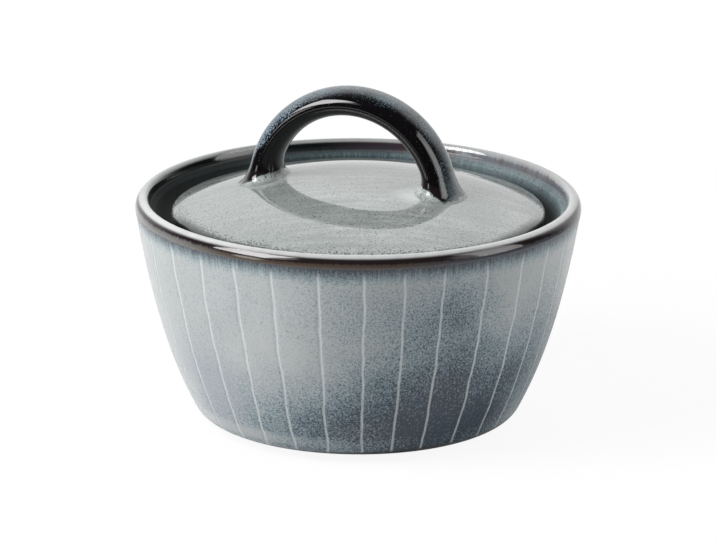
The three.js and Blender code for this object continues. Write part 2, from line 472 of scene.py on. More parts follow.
class PieceTree:
    """A Geometry Nodes tree with named inputs, a guide mesh going in and a finished piece coming out."""

    def __init__(self, name):
        self.tree = bpy.data.node_groups.new(name, "GeometryNodeTree")
        self.identifiers = {}
        self.input_node = self.tree.nodes.new("NodeGroupInput")
        self.output_node = self.tree.nodes.new("NodeGroupOutput")
        self.guide = self.named_input("Guide", "NodeSocketGeometry")
        self.tree.interface.new_socket("Piece", in_out="OUTPUT", socket_type="NodeSocketGeometry")

    def named_input(self, name, kind="NodeSocketFloat"):
        socket = self.tree.interface.new_socket(name, in_out="INPUT", socket_type=kind)
        self.identifiers[name] = socket.identifier
        return Field(self.tree, self.input_node.outputs[name])

    def numbers(self, *names):
        return [self.named_input(name) for name in names]

    def sampled(self, value, index, data_type):
        """Value of the guide at one of its points."""
        inputs = {"Geometry": self.guide, "Value": value, "Index": index}
        return made(self.tree, "GeometryNodeSampleIndex", inputs, data_type=data_type)

    def guide_attribute(self, name, index, data_type):
        field = made(self.tree, "GeometryNodeInputNamedAttribute", {"Name": name}, data_type=data_type)
        return self.sampled(field, index, data_type)

    def net(self, columns):
        """Net of points with a row for each point of the guide; returns it with column and row."""
        rows = made(self.tree, "GeometryNodeAttributeDomainSize", {"Geometry": self.guide})
        sizes = {"Size X": 1.0, "Size Y": 1.0, "Vertices X": columns, "Vertices Y": rows}
        grid = made(self.tree, "GeometryNodeMeshGrid", sizes)
        index = made(self.tree, "GeometryNodeInputIndex")
        column = (index / rows).math("FLOOR")
        return grid, column, index - column * rows

    def stored(self, mesh, name, value):
        inputs = {"Geometry": mesh, "Name": name, "Value": value}
        return made(self.tree, "GeometryNodeStoreNamedAttribute", inputs, data_type="FLOAT")

    def finish(self, mesh, place, glaze, flip=False):
        """Moves the net into place, closes its seams and poles, flips its faces if asked, and glazes it."""
        turn_over = [("GeometryNodeFlipFaces", {})] if flip else []
        for kind, settings in [
            ("GeometryNodeSetPosition", {"Position": place}),
            ("GeometryNodeMergeByDistance", {"Distance": SEAM}),
            *turn_over,
            ("GeometryNodeSetShadeSmooth", {"Shade Smooth": True}),
            ("GeometryNodeRealizeInstances", {}),
            ("GeometryNodeSetMaterial", {"Material": glaze}),
        ]:
            mesh = made(self.tree, kind, {0: mesh, **settings})
        feed(self.tree, self.output_node.inputs[0], mesh)

    def piece(self, name, guide, **values):
        """Runs the tree on a guide mesh and returns the result as an object with a plain mesh."""
        helper = placed(name + "_guide", guide)
        modifier = helper.modifiers.new("build", "NODES")
        modifier.node_group = self.tree
        for label, value in values.items():
            modifier[self.identifiers[label.replace("_", " ")]] = value
        evaluated = helper.evaluated_get(bpy.context.evaluated_depsgraph_get())
        mesh = bpy.data.meshes.new_from_object(evaluated)
        helper.modifiers.remove(modifier)
        bpy.data.objects.remove(helper)
        mesh.name = name
        return placed(name, mesh)


def picked(tree, index, values):
    """One of a list of numbers, by its place in the list."""
    node = tree.nodes.new("GeometryNodeIndexSwitch")
    node.data_type = "FLOAT"
    while len(node.index_switch_items) < len(values):
        node.index_switch_items.new()
    feed(tree, node.inputs[0], index)
    for socket, value in zip(node.inputs[1:], values):
        socket.default_value = value
    return Field(tree, node.outputs[0])


def stripe_strays():
    """How far each stripe stands from its even place, in radians, the front one first."""
    chance = random.Random(STRAY_SEED)
    strays = [chance.uniform(-STRAY_SPREAD, STRAY_SPREAD) for _ in range(STRIPES)]
    middle = len(STRAYS_OF_FRONT_STRIPES) // 2
    for i, stray in enumerate(STRAYS_OF_FRONT_STRIPES):
        strays[(i - middle) % STRIPES] = stray
    return [math.radians(stray) for stray in strays]


def turned_tree():
    """Turns an outline about the axis, with a shallow scored line under each stripe."""
    build = PieceTree("turned_stoneware")
    tree = build.tree
    per_stripe = build.named_input("Columns per stripe", "NodeSocketInt")
    depth, half_width, top, bottom, waver_size, wobble_size = build.numbers(
        "Groove depth", "Groove half width", "Stripe top", "Stripe bottom", "Waver", "Wobble",
    )
    glaze = build.named_input("Glaze", "NodeSocketMaterial")

    net, column, row = build.net(per_stripe * STRIPES + 1)
    spot = build.sampled(made(tree, "GeometryNodeInputPosition"), row, "FLOAT_VECTOR")
    outward = build.guide_attribute("outward", row, "FLOAT_VECTOR")
    along = build.guide_attribute("along", row, "FLOAT")
    radius = part_of(spot, "X")

    stripe = (column / per_stripe).math("FLOOR")
    across = (column - stripe * per_stripe) / per_stripe * 2 - 1
    pull = abs(across) ** COLUMN_CROWDING
    waver = noise(vector(tree, along, stripe * WAVER_APART, 0), WAVER_LENGTH, detail=3.0) - 0.5
    stray = picked(tree, stripe, stripe_strays()) + waver * 2 * waver_size / RIM_RADIUS
    cell_edge = across.math("SIGN") * (STRIPE_PITCH / 2)
    angle = stripe * STRIPE_PITCH + stray + pull * (cell_edge - stray) + FRONT_ANGLE
    gap = abs(cell_edge - stray) * pull * radius

    even = turned_about(spot, angle)
    striped = band(along, (top, top + STRIPE_FADE), (bottom, bottom - STRIPE_FADE))
    groove = ramp(gap, half_width, GROOVE_HALF_FLOOR) * depth
    wobble = noise(even, WOBBLE_SIZE, detail=1.0) * wobble_size
    dent = scaled(turned_about(outward, angle), (groove + wobble) * striped)
    place = vector_math("SUBTRACT", even, dent)
    net = build.stored(net, "along", along)
    net = build.stored(net, "stripe_gap", gap)
    build.finish(net, place, glaze)
    return build


def turned_about(spot, angle):
    """A place or direction of the outline's plane, turned about the axis."""
    out = part_of(spot, "X")
    x = out * angle.math("COSINE")
    y = out * angle.math("SINE")
    return vector(spot.tree, x, y, part_of(spot, "Z"))


def dome_height(x, y):
    level = DOME_RADIUS ** 2 - x * x - y * y
    return level.math("SQRT") + DOME_CENTRE


def strap_tree():
    """Bends a strap section over a half circle whose feet flare and lie on the dome of the lid."""
    build = PieceTree("arched_strap")
    tree = build.tree
    steps = build.named_input("Steps", "NodeSocketInt")
    arch_radius, arch_height, offset = build.numbers("Arch radius", "Arch height", "Offset")
    flare_size, flare_height = build.numbers("Flare", "Flare height")
    skirt_size, skirt_height = build.numbers("Skirt", "Skirt height")
    glaze = build.named_input("Glaze", "NodeSocketMaterial")

    net, column, row = build.net(steps + 3)
    spot = build.sampled(made(tree, "GeometryNodeInputPosition"), row, "FLOAT_VECTOR")
    outward = build.guide_attribute("outward", row, "FLOAT_VECTOR")
    # 0 on the first and last columns, which close the ends of the strap, and 1 on the others
    capped = (column * (steps + 2 - column)).math("MINIMUM", 1.0)
    side = part_of(spot, "Z") * capped
    reach = arch_radius + part_of(spot, "X") * capped

    def foot_angle(sign):
        """Angle on the arch where this line of the strap meets the dome."""
        level = dome_height(offset + reach * sign, side)
        first = ((level - arch_height) / reach).math("ARCSINE")
        level = dome_height(offset + reach * first.math("COSINE") * sign, side)
        return ((level - arch_height) / reach).math("ARCSINE")

    right_foot = foot_angle(1)
    left_foot = foot_angle(-1)
    share = ((column - 1) / steps).math("MAXIMUM", 0.0).math("MINIMUM", 1.0)
    eased = share - (share * (2 * math.pi)).math("SINE") * (FOOT_CROWDING / (2 * math.pi))
    angle = right_foot + (math.pi - right_foot - left_foot) * eased
    x = offset + reach * angle.math("COSINE")
    height = arch_height + reach * angle.math("SINE") - dome_height(x, side)

    def fading(size, over):
        """Size at the dome that runs out at a height above it."""
        return (1 - height / over).math("MAXIMUM", 0.0) ** 2 * size

    flare = (fading(flare_size, flare_height) + fading(skirt_size, skirt_height)) * capped
    x = x + part_of(outward, "X") * flare * angle.math("COSINE")
    y = side + part_of(outward, "Z") * flare
    sink = ramp(height, SKIRT_HEIGHT, 0.0) * FOOT_SINK
    place = vector(tree, x, y, dome_height(x, y) + height - sink)
    net = build.stored(net, "foot_height", height)
    net = build.stored(net, "outer_face", part_of(spot, "X") / (STRAP_THICKNESS / 2))
    build.finish(net, place, glaze, flip=True)
    return build


def strap_guide():
    """Closed section of the strap: X is away from the arch's centre, Z is across the strap."""
    def half(value, size):
        return math.copysign(abs(value) ** (2 / STRAP_SQUARENESS), value) * size / 2

    turn = [2 * math.pi * i / STRAP_SIDES for i in range(STRAP_SIDES + 1)]
    ring = [point(half(math.cos(t), STRAP_THICKNESS), half(math.sin(t), STRAP_WIDTH)) for t in turn]
    mesh = outline_guide("strap_section", ring, 0)
    ends = mesh.attributes["outward"].data
    shared = (Vector(ends[0].vector) + Vector(ends[STRAP_SIDES].vector)).normalized()
    ends[0].vector = shared
    ends[STRAP_SIDES].vector = shared
    return mesh


# Glazes

def tint(red, green, blue):
    """Colour from its screen values, 0 to 255."""
    def linear(value):
        share = value / 255
        return share / 12.92 if share <= 0.04045 else ((share + 0.055) / 1.055) ** 2.4

    return (linear(red), linear(green), linear(blue), 1)


# Colours of the bowl's wall
CELADON = tint(175, 181, 181)
LAVENDER = tint(160, 162, 172)
VEIL = tint(189, 194, 195)
MIST = tint(127, 148, 156)
FADE_MIST = tint(131, 145, 149)
FADE_SLATE = tint(42, 53, 63)
SLATE = tint(34, 54, 71)
PLUM = tint(46, 47, 65)
STRIPE_PALE = tint(208, 216, 218)

# Colours of the rim, its lip and the gallery inside it
RIM_BLACK = tint(34, 27, 28)
RIM_BROWN = tint(80, 70, 62)
RIM_SLATE = tint(76, 78, 85)
# Pale crest glaze, partly a painted reflection.
CREST_GLAZE_AND_REFLECTION = tint(186, 189, 189)
LIP_BLUSH = tint(112, 110, 118)
LIP_BROWN = tint(112, 88, 82)
TEAL_GREY = tint(110, 132, 139)
GALLERY_TEAL = tint(52, 68, 71)
# GALLERY_DARK gives dark specks, and also painted shade on the gallery's left.
GALLERY_DARK = tint(14, 20, 21)
# GALLERY_PALE gives pale drips, partly painted light on the lit right.
GALLERY_PALE = tint(130, 146, 149)
# LEDGE_DARK is painted shade on the ledge, and also the black under the lip.
LEDGE_DARK = tint(15, 19, 20)
LEDGE_PLUM = tint(50, 43, 49)

# Colours of the clay, the lid and the handle
BARE_CLAY = tint(178, 160, 138)
BARE_CLAY_DARK = tint(150, 132, 112)
LID_CELADON = tint(131, 138, 135)
# LID_DIM is a darker celadon; beside the right foot it is painted shadow.
LID_DIM = tint(126, 134, 131)
# Painted shade for the front of the lid's edge.
LID_EDGE_SHADE = tint(22, 28, 30)
LID_VEIL = tint(159, 164, 162)
LID_SPECK = tint(52, 69, 76)
LID_DOT = tint(36, 46, 48)
FOOT_POOL_PALE = tint(190, 198, 196)
ARCH_BLACK = tint(12, 10, 12)
HANDLE_MIST = tint(82, 106, 117)
HANDLE_BLUE = tint(118, 136, 150)
HANDLE_FOOT = tint(92, 103, 106)
POOLED = tint(176, 184, 180)

# Grain and soft edge of bare clay
CLAY_GRAIN = 0.5 * MM
CLAY_EDGE = 0.4 * MM


class Glaze:
    """A glossy fired glaze: a material whose colour, roughness and relief come from nodes."""

    def __init__(self, name, gloss_index):
        self.material = bpy.data.materials.new(name)
        self.material.use_nodes = True
        self.tree = self.material.node_tree
        self.shader = self.tree.nodes["Principled BSDF"]
        self.shader.inputs["IOR"].default_value = gloss_index
        self.place = made(self.tree, "ShaderNodeTexCoord", output="Object")

    def attribute(self, name):
        return made(self.tree, "ShaderNodeAttribute", output="Fac", attribute_name=name)

    def speckle(self, size):
        return noise(self.place, size, roughness=0.6)

    def warped(self, size, amount):
        """The place on the piece, pushed about so that blobs get ragged edges."""
        push = noise(self.place, size, output="Color")
        centred = vector_math("SUBTRACT", push, (0.5, 0.5, 0.5))
        return vector_math("ADD", self.place, scaled(centred, amount))

    def leaning(self, bearing, start, end):
        """Share that rises across the piece towards a bearing, from start to end in millimetres."""
        return ramp(reach_along(looking(bearing, 0), self.place), *mm(start, end))

    def dripping(self, along, width, length):
        """Fine streaks that run down the outline."""
        x = part_of(self.place, "X")
        y = part_of(self.place, "Y")
        radius = (x * x + y * y).math("SQRT").math("MAXIMUM", 1 * MM)
        spot = vector(self.tree, x / radius * RIM_RADIUS, y / radius * RIM_RADIUS, along * (width / length))
        return noise(spot, width)

    def wiped(self, colour, along, start, end):
        """Bare clay on a ring that was wiped before the firing: its share, and the colour with it."""
        bare = band(along, (start, start + CLAY_EDGE), (end + CLAY_EDGE, end))
        clay = mixed(noise(self.place, CLAY_GRAIN, detail=3.0), BARE_CLAY, BARE_CLAY_DARK)
        return bare, mixed(bare, colour, clay)

    def fire(self, colour, roughness, relief, relief_height):
        feed(self.tree, self.shader.inputs["Base Color"], colour)
        feed(self.tree, self.shader.inputs["Roughness"], roughness)
        inputs = {"Height": relief, "Distance": relief_height, "Strength": 1.0}
        feed(self.tree, self.shader.inputs["Normal"], made(self.tree, "ShaderNodeBump", inputs))
        return self.material


def toned(tone, pale, middle, dark):
    """Colour of the glaze from where it is thin and pale (0) to where it has pooled dark (1)."""
    return mixed((tone - 0.5) * 2, mixed(tone * 2, pale, middle), dark)


# Glaze of the bowl

# Pools of dark glaze on the wall: bearing in degrees, height and reach in millimetres, strength. The pool at
# bearing 48, low down, is painted shade near the base on the shaded right.
DARK_POOLS = [
    (27, 15, 34, 0.88), (2, 9, 29, 0.62), (-26, 8, 24, 0.44), (-40, 17, 24, 0.06), (-34, 10.5, 7, 0.16),
    (-15, 10, 8, 0.12), (0, 44, 26, 0.16), (8, 35, 24, 0.11), (27, 36, 24, 0.22), (29, 47, 12, 0.42),
    (19, 44, 14, 0.27), (-4, 20, 18, 0.10), (38, 21, 19, 0.20), (36, 40, 20, 0.10), (36, 9, 15, 0.30),
    (24, 3, 14, 0.25), (48, 5, 15, 0.40), (59, 14, 22, 0.58), (60, 30, 24, 0.46), (95, 14, 30, 0.75),
    (128, 36, 22, 0.40), (148, 10, 30, 0.85), (180, 26, 20, 0.35), (205, 10, 28, 0.70),
    (240, 22, 20, 0.35), (265, 8, 26, 0.55), (305, 6, 16, 0.25),
]

# Plum blotches in the dark pools, lavender clouds on the pale sides, and veils of thin white glaze
PLUM_BLOTCHES = [(-2, 9, 9, 0.9), (13, 12, 10, 0.9), (25, 20, 11, 0.7), (150, 12, 12, 0.9)]
LAVENDER_CLOUDS = [(-50, 18, 20, 0.8), (200, 30, 20, 0.7)]
PALE_VEILS = [
    (-20, 44, 30, 0.75), (-30, 24, 22, 0.30), (-62, 6, 18, 0.80), (72, 48, 24, 0.50),
    (170, 46, 30, 0.70), (222, 40, 26, 0.60),
]

# Soft passages along the outline, as lengths from the crest of the rim: the inside counts below 0
CREST_SEAM = 0.2 * MM
CREST_OUTER_END = mm(2.2, 1.3)
CREST_INNER_START = -1.6 * MM
CREST_INNER_END = -0.9 * MM
RIM_THIN_FROM = mm(2.7, 3.4)
RIM_BLACK_END = mm(3.0, 3.8)
RIM_END = mm(4.9, 4.2)
FADE_START = 4 * MM
FADE_END = 9.7 * MM
STRIPES_FROM = mm(5, 9)
STRIPES_FAINT_FROM = mm(30, 48)
DRIPS_TO = mm(-9, -5)
LEDGE_FROM = mm(-5, -9.5)
LEDGE_TO = mm(-21, -19)
FLOOR_FROM = mm(-22, -40)

# Sizes of the bowl's patterns: streaks and drips by width and length, ragged edges by size and push
STREAK = mm(0.5, 7)
DRIP = mm(1.1, 20)
POOL_RAGGED = mm(9, 8)
FADE_RAGGED = 3 * MM
RIM_RAGGED = 1 * MM
STRIPE_HALF_WIDTH = 0.3 * MM
STRIPE_WIDENING = 0.2 * MM


def on_wall(bearing, height):
    nearest = min(outer_wall(steps=60), key=lambda p: abs(p.y - height))
    return looking(bearing, 0) * nearest.x + Vector((0, 0, height))


def pooled(place, pools):
    """Sum of soft blobs about points of the wall."""
    total = None
    for bearing, height, reach, strength in pools:
        away = distance_to(on_wall(bearing, height * MM), place)
        blob = ramp(away, reach * MM, 0.0) * strength
        total = blob if total is None else total + blob
    return total


class BowlGlaze(Glaze):
    """Pale celadon that pools into slate, dark at the rim with a pale crest, scored by pale stripes."""

    def __init__(self, base_start):
        super().__init__("striped_bowl_glaze", gloss_index=1.5)
        self.base_start = base_start
        self.along = self.attribute("along")
        self.fine = self.speckle(size=0.48 * MM)
        self.cloud = noise(self.place, size=13 * MM)
        self.streak = self.dripping(self.along, *STREAK)
        self.drip = self.dripping(self.along, *DRIP)
        self.to_right = self.leaning(100, 15, 48)
        self.pushed = self.warped(*POOL_RAGGED)
        self.slate = mixed(pooled(self.pushed, PLUM_BLOTCHES), SLATE, PLUM)
        # Painted light: the pale band above the base takes tone off the density.
        self.density = pooled(self.pushed, DARK_POOLS) + (self.cloud - 0.5) * 0.3 - self.painted_edge_shading()
        self.grain = (self.fine - 0.5) * (1.35 + 1.2 * ramp(self.density, 0.0, 0.3))

    def painted_edge_shading(self):
        """Share of a pale band of painted light above the base, strongest on the left, where the light
        falls.
        """
        height = part_of(self.place, "Z")
        return band(height, mm(3.6, 5.2), mm(8.4, 6.6)) * (0.12 + 0.2 * self.leaning(-90, -2, 12))

    def mottled_wall(self):
        """Celadon, mist and slate that fade into dark grey towards the rim."""
        cloudy = noise(self.place, size=10 * MM, detail=3.0) - 0.5
        pale = mixed(pooled(self.pushed, PALE_VEILS) + cloudy * 1.3, CELADON, VEIL)
        pale = mixed(pooled(self.pushed, LAVENDER_CLOUDS), pale, LAVENDER)
        fade_end = FADE_END + self.leaning(90, -40, 0) * (0.5 * MM)
        fade = ramp(self.along + (self.streak - 0.5) * FADE_RAGGED, fade_end, FADE_START)
        fade = fade * (0.96 + self.leaning(90, -50, -10) * 0.04)
        middle = mixed(fade, MIST, FADE_MIST)
        dark = mixed(fade, self.slate, FADE_SLATE)
        wall = toned(self.density + fade + self.grain * (1 - fade * 0.6), pale, middle, dark)
        freckle = ramp(noise(self.place, size=0.9 * MM, detail=1.0), 0.67, 0.73)
        return mixed(freckle * 0.22, wall, SLATE)

    def striped(self, wall):
        """The wall with its pale stripes, which widen just above the base."""
        base = self.base_start
        half_width = STRIPE_HALF_WIDTH + ramp(self.along, base - 2 * MM, base) * STRIPE_WIDENING
        line = ramp(self.attribute("stripe_gap"), half_width + 0.15 * MM, half_width - 0.12 * MM)
        line = line * band(self.along, STRIPES_FROM, (base + 1 * MM, base - 1 * MM))
        line = line * (1 - 0.12 * ramp(self.along, *STRIPES_FAINT_FROM))
        return mixed(line * (0.5 + 0.6 * noise(self.place, size=1.6 * MM)), wall, STRIPE_PALE)

    def painted_base_shadow(self, wall):
        """The wall with painted shadow at its base, where it turns under, strongest on the shaded right."""
        side = self.leaning(90, -25, 15)
        edge = self.along + side * (1.2 * MM)
        turn = ramp(edge, self.base_start - 0.6 * MM, self.base_start + 0.6 * MM)
        # Painted shadow: the base darkens towards RIM_BLACK where it meets the floor.
        return mixed(turn * (0.25 + 0.55 * side), wall, RIM_BLACK)

    def rimmed(self, wall):
        """The wall with a dark band under the lip, thinner on the left and slate on the right."""
        ragged = self.along + (self.streak - 0.5) * RIM_RAGGED
        thinner = self.leaning(-90, 30, 55)
        brown = mixed(self.leaning(90, 5, 35), RIM_BROWN, RIM_SLATE)
        rim = mixed(ramp(ragged, *RIM_BLACK_END), RIM_BLACK, brown)
        rim = mixed(thinner * 0.35 * ramp(ragged, *RIM_THIN_FROM), rim, CELADON)
        return mixed(ramp(ragged, *RIM_END), wall, rim)

    def gallery(self):
        """Teal, with painted shade on its left side, pale drips on the right that are partly painted light,
        and painted shade on the ledge below.
        """
        teal = ramp(self.streak + (self.cloud - 0.5) * 0.6, 0.4, 0.75) * 0.45
        colour = mixed(teal, GALLERY_TEAL, TEAL_GREY)
        # Painted shade: darker on the left, which faces away from the light.
        colour = mixed(self.leaning(-90, 10, 40) * 0.9, colour, GALLERY_DARK)
        drips = 0.5 + 0.5 * ramp(self.drip + (self.cloud - 0.5) * 0.5, 0.2, 0.75)
        # Pale drips, partly painted light: they show only on the lit right side.
        colour = mixed(self.to_right * drips * ramp(self.along, *DRIPS_TO), colour, GALLERY_PALE)
        colour = mixed(ramp(self.fine, 0.5, 0.7) * 0.6, colour, GALLERY_DARK)
        # Painted shade on the ledge, in the recess beside the lid's edge.
        return mixed(band(self.along, LEDGE_FROM, LEDGE_TO), colour, LEDGE_DARK)

    def inside(self):
        """The gallery, the mottled floor below it, and black under the lip except on the right."""
        floor = toned(self.cloud + self.grain, MIST, GALLERY_TEAL, self.slate)
        colour = mixed(ramp(self.along, *FLOOR_FROM), self.gallery(), floor)
        under_lip = ramp(self.along + (self.streak - 0.5) * FADE_RAGGED, *mm(-5, -3))
        black = mixed(self.leaning(90, -14, 8), LEDGE_DARK, LEDGE_PLUM)
        return mixed(under_lip * self.leaning(85, 28, 6), colour, black)

    def lipped(self, colour):
        """The bowl with broken brown inside its lip on the right, and a pale crest glaze that is partly a
        painted reflection, paler at the front.
        """
        end = self.along + self.to_right * (0.3 * MM + (self.drip - 0.5) * (1.7 * MM))
        blush = self.to_right * ramp(end, *mm(-4.6, -2.4)) * ramp(self.along, CREST_SEAM, -CREST_SEAM)
        broken = mixed(ramp(noise(self.place, size=5 * MM), 0.5, 0.66), LIP_BLUSH, LIP_BROWN)
        colour = mixed(blush * 0.7, colour, broken)
        inner_start = CREST_INNER_START - self.to_right * (0.4 * MM)
        crest = ramp(self.along, *CREST_OUTER_END) * ramp(end, inner_start, CREST_INNER_END)
        # Paler at the front: painted reflection on the crest.
        crest = crest * (0.6 + 0.4 * self.leaning(0, -30, 20))
        return mixed(crest * (0.8 + 0.3 * noise(self.place, size=3 * MM)), colour, CREST_GLAZE_AND_REFLECTION)

    def fired(self, foot_start, foot_end):
        """The finished glaze, with bare clay on the foot ring."""
        wall = self.rimmed(self.painted_base_shadow(self.striped(self.mottled_wall())))
        colour = mixed(ramp(self.along, -CREST_SEAM, CREST_SEAM), self.inside(), wall)
        bare, colour = self.wiped(self.lipped(colour), self.along, foot_start, foot_end)
        satin = ramp(self.along, *mm(3.4, 4.8))
        matt = band(self.along, mm(-2.6, -4.2), LEDGE_TO)
        roughness = 0.05 + 0.04 * noise(self.place, size=6 * MM) + 0.18 * satin + 0.8 * matt + bare * 0.3
        ripple = noise(self.place, size=5 * MM, detail=1.0) + 0.02 * self.fine
        return self.fire(colour, roughness, ripple, relief_height=0.05 * MM)


# Glaze of the lid

# Pale glaze that has pooled beside the feet of the handle: place and reach in millimetres, strength
FOOT_POOLS = [(-24, -7, 5.5, 0.5), (18.5, -6.5, 8, 0.8), (24, 7, 7, 0.4), (-18, 7, 7, 0.5)]
LID_POOL_RAGGED = mm(3, 3)

# Painted shade along the front edge, where it turns down into shade beside the rim: raggedness, soft
# passage, bearing, where it leans in, strength
LID_EDGE_SHADES = [
    (1.4 * MM, mm(5, 2.5), -38, (34, 44), 1.0),
    (1.6 * MM, mm(6, 2), 62, (45, 49), 0.85),
]

# Painted shadow of the handle's right foot on the lid beside it, and the reach of its soft edge
PAINTED_FOOT_SHADOW = mm(33, -3)
PAINTED_FOOT_SHADOW_EDGE = mm(14, 4)

# Relief of the lid's glaze: a soft shoulder along the front of the edge, and a ripple
SHOULDER_WIDTH = 4.8 * MM
SHOULDER_RADIUS = 4 * MM
LID_RIPPLE = 0.006 * MM

# Brush marks run across the view, longer than they are wide
BRUSH_SIZE = 2.2 * MM
BRUSH_STRETCH = 8


def on_dome(x, y):
    return Vector((x, y, DOME_CENTRE + math.sqrt(DOME_RADIUS ** 2 - x * x - y * y)))


def crowding_dots(glaze, edge):
    """Share of the dark dots, which crowd along the front left of the lid's edge."""
    cloud = noise(glaze.place, size=11 * MM)
    crowd = ramp(edge + (cloud - 0.5) * (3 * MM), *mm(8, 0.8))
    crowd = crowd * (0.25 + 0.75 * glaze.leaning(-25, 12, 40))
    return ramp(noise(glaze.place, size=0.55 * MM, detail=0.5) + crowd * 0.4, 0.67, 0.75)


def lid_colour(glaze, edge):
    """Brushed celadon with sparse dark specks, and with dots and painted shade along the edge of the lid."""
    place = glaze.place
    fine = glaze.speckle(size=0.42 * MM)
    sideways = reach_along(looking(90, 0), place)
    forwards = reach_along(looking(0, 0), place)
    brushed = noise(vector(glaze.tree, sideways / BRUSH_STRETCH, forwards, 0), BRUSH_SIZE, detail=3.0)
    veil = noise(place, size=6 * MM, detail=3.0, roughness=0.6) + (brushed - 0.5) * 2.4
    colour = mixed(veil, LID_CELADON, LID_VEIL)
    colour = mixed(glaze.leaning(-80, 6, 34) * 0.6, colour, LID_DIM)
    # Painted shadow beside the right foot of the handle.
    painted_foot_shadow = ramp(distance_to(on_dome(*PAINTED_FOOT_SHADOW), place), *PAINTED_FOOT_SHADOW_EDGE)
    colour = mixed(painted_foot_shadow * 0.8, colour, LID_DIM)
    colour = mixed((fine - 0.52).math("MAXIMUM", 0.0) * 4.2, colour, LID_SPECK)
    colour = mixed(crowding_dots(glaze, edge) * 0.85, colour, LID_DOT)
    # Painted shade along the front of the lid's edge.
    for raggedness, passage, bearing, lean, strength in LID_EDGE_SHADES:
        painted_edge_shading = ramp(edge + (fine - 0.5) * raggedness, *passage) * glaze.leaning(bearing, *lean)
        colour = mixed(painted_edge_shading * strength, colour, LID_EDGE_SHADE)
    return colour


def lid_glaze(seat_start, seat_end):
    """Pale speckled glaze with pools at the feet of the handle, faint stripes and a bare seat ring."""
    glaze = Glaze("domed_lid_glaze", gloss_index=1.65)
    along = glaze.attribute("along")
    place = glaze.place
    colour = lid_colour(glaze, along)
    ragged_place = glaze.warped(*LID_POOL_RAGGED)
    for x, y, reach, strength in FOOT_POOLS:
        pool = ramp(distance_to(on_dome(x * MM, y * MM), ragged_place), reach * MM, 0.0)
        colour = mixed(pool * strength, colour, FOOT_POOL_PALE)
    line = ramp(glaze.attribute("stripe_gap"), 0.4 * MM, 0.15 * MM)
    line = line * band(along, mm(3, 8), mm(30, 16))
    colour = mixed(line * 0.1 * ramp(noise(place, size=9 * MM), 0.42, 0.65), colour, STRIPE_PALE)
    bare, colour = glaze.wiped(colour, along, seat_start, seat_end)
    roughness = 0.02 + 0.02 * noise(place, size=7 * MM) + bare * 0.5
    ripple = noise(place, size=6 * MM, detail=1.0) + 0.02 * noise(place, size=0.6 * MM)
    shoulder = (SHOULDER_WIDTH - along.math("MAXIMUM", 0.0)).math("MAXIMUM", 0.0)
    fall = shoulder * shoulder / (2 * SHOULDER_RADIUS) * glaze.leaning(0, 6, 20)
    relief = ripple * LID_RIPPLE - fall
    return glaze.fire(colour, roughness, relief, relief_height=1.0)


# Glaze of the handle: its feet change at these heights above the dome
FOOT_BLACK_END = mm(4.2, 2.6)
FOOT_POOL_MERGE = mm(1.2, 0.2)
FOOT_POOL_EDGE = 0.25 * MM
FOOT_POOL_LOW = 0.4 * MM
FOOT_POOL_RISE = 1.8 * MM

# The feet stand well in from the lid's edge, where its colour is plain
FAR_FROM_EDGE = 30 * MM


def handle_glaze():
    """Near-black, with a mist of pale specks on the outside of the arch and pooled celadon at its feet."""
    glaze = Glaze("arched_handle_glaze", gloss_index=1.45)
    place = glaze.place
    foot = glaze.attribute("foot_height")
    outer = glaze.attribute("outer_face")
    fine = glaze.speckle(size=0.38 * MM)
    cloud = noise(place, size=7 * MM)
    to_left = glaze.leaning(-90, 2, 22) * ramp(foot, 5 * MM, 12 * MM)
    mist = ramp(outer + (cloud - 0.5) * 0.9 + to_left * 0.6, 0.4, 1.2)
    specks = ramp(fine + mist * 0.25, 0.68, 0.79)
    speck_colour = mixed(to_left * ramp(outer, 0.9, 0.5), HANDLE_MIST, HANDLE_BLUE)
    colour = mixed(specks, ARCH_BLACK, speck_colour)
    foot_mist = ramp(foot, *mm(10, 1.5)) * ramp(outer, 0.45, 0.95)
    colour = mixed(foot_mist * (0.3 + 0.9 * ramp(fine, 0.4, 0.6)), colour, HANDLE_FOOT)
    ragged = foot + (noise(place, size=4 * MM) - 0.5) * (1.6 * MM)
    colour = mixed(ramp(ragged, *FOOT_BLACK_END) * ramp(outer, 0.8, 0.4) * 0.7, colour, RIM_BLACK)
    pool = mixed(ramp(fine, 0.48, 0.66), POOLED, LID_SPECK)
    pool = mixed(ramp(foot, *FOOT_POOL_MERGE), pool, lid_colour(glaze, foot + FAR_FROM_EDGE))
    pool_top = FOOT_POOL_LOW + ramp(outer, 0.7, -0.3) * FOOT_POOL_RISE
    colour = mixed(ramp(ragged - pool_top, FOOT_POOL_EDGE, -FOOT_POOL_EDGE), colour, pool)
    roughness = 0.04 + 0.03 * noise(place, size=4 * MM) + 0.1 * specks + 0.12 * ramp(outer, 0.66, 0.95)
    ripple = noise(place, size=4 * MM, detail=1.0) + 0.03 * fine
    return glaze.fire(colour, roughness, ripple, relief_height=0.01 * MM)


# Pieces

